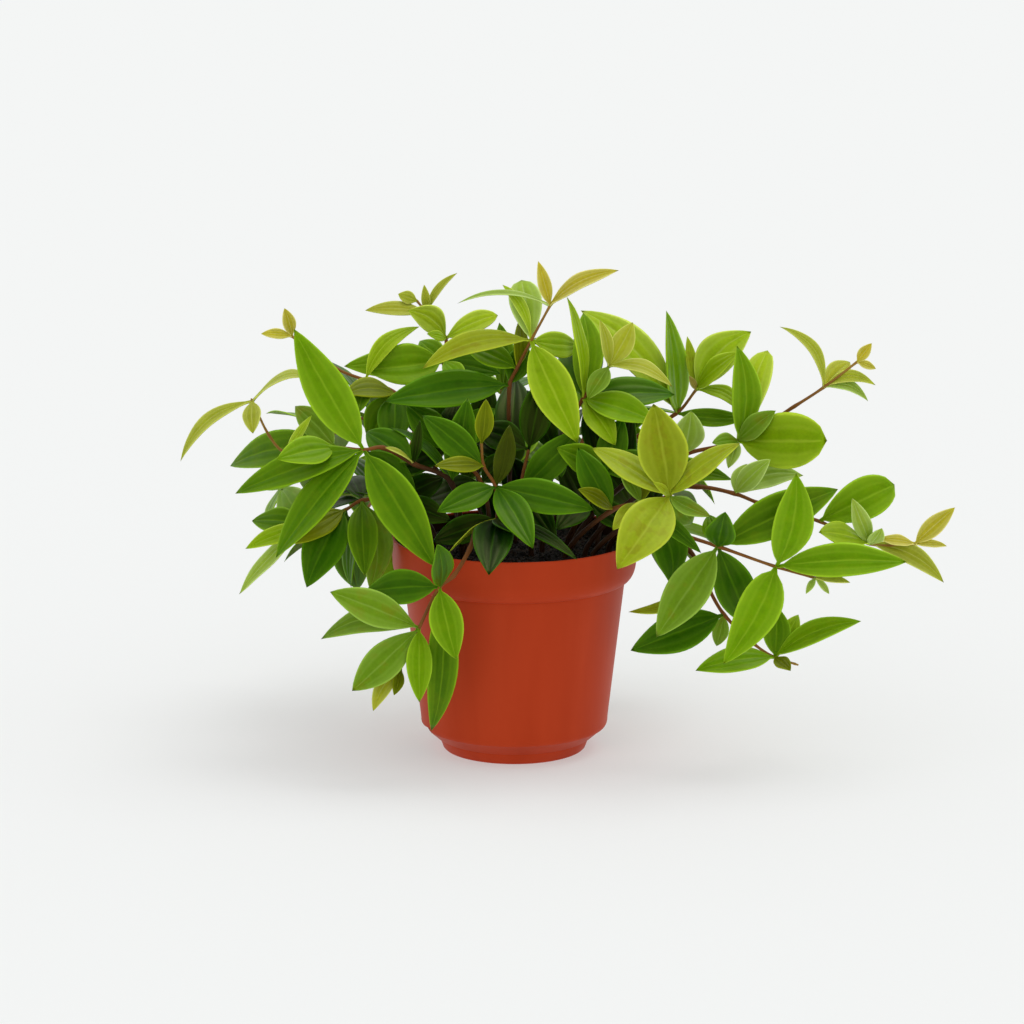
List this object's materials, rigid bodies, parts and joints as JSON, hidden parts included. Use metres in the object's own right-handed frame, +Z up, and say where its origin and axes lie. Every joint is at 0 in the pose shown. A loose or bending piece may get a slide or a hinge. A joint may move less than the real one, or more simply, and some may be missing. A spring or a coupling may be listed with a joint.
{
  "type": "potted beetle peperomia",
  "caption": "Bushy trailing houseplant with ribbed pointed leaves on arching red-brown stems, in a small round tapered plastic nursery pot filled with dark peat.",
  "frame": {"origin": "centre of the flat underside of the pot, on the surface that the pot stands on", "axes": "+Z up along the pot's axis; +X to the right as the plant is seen from its front, along its longest spread; +Y away from the front"},
  "size_m": [0.3233, 0.2222, 0.2125],
  "materials": {
    "terracotta_plastic": "satin",
    "peat": "matte",
    "foliage": "satin"
  },
  "bodies": {
    "root": {"pot": "terracotta_plastic", "soil": "peat", "stem_trailing_left": "foliage", "stem_front_right": "foliage", "stem_left_front": "foliage", "stem_front_centre": "foliage", "stem_right_low": "foliage", "stem_right_lowest": "foliage", "stem_right_middle": "foliage", "stem_top_centre": "foliage", "stem_top_right": "foliage", "stem_right_upper": "foliage", "stem_right_spike": "foliage", "stem_top_left": "foliage", "stem_far_left": "foliage", "stem_left_middle": "foliage", "stem_inner_left": "foliage", "stem_inner_centre": "foliage", "stem_inner_right": "foliage", "stem_back_left": "foliage", "stem_back_left_low": "foliage", "stem_back_middle_left": "foliage", "stem_back_centre": "foliage", "stem_back_low": "foliage", "stem_back_middle_right": "foliage", "stem_back_right": "foliage", "stem_back_right_low": "foliage"}
  },
  "joints": []
}
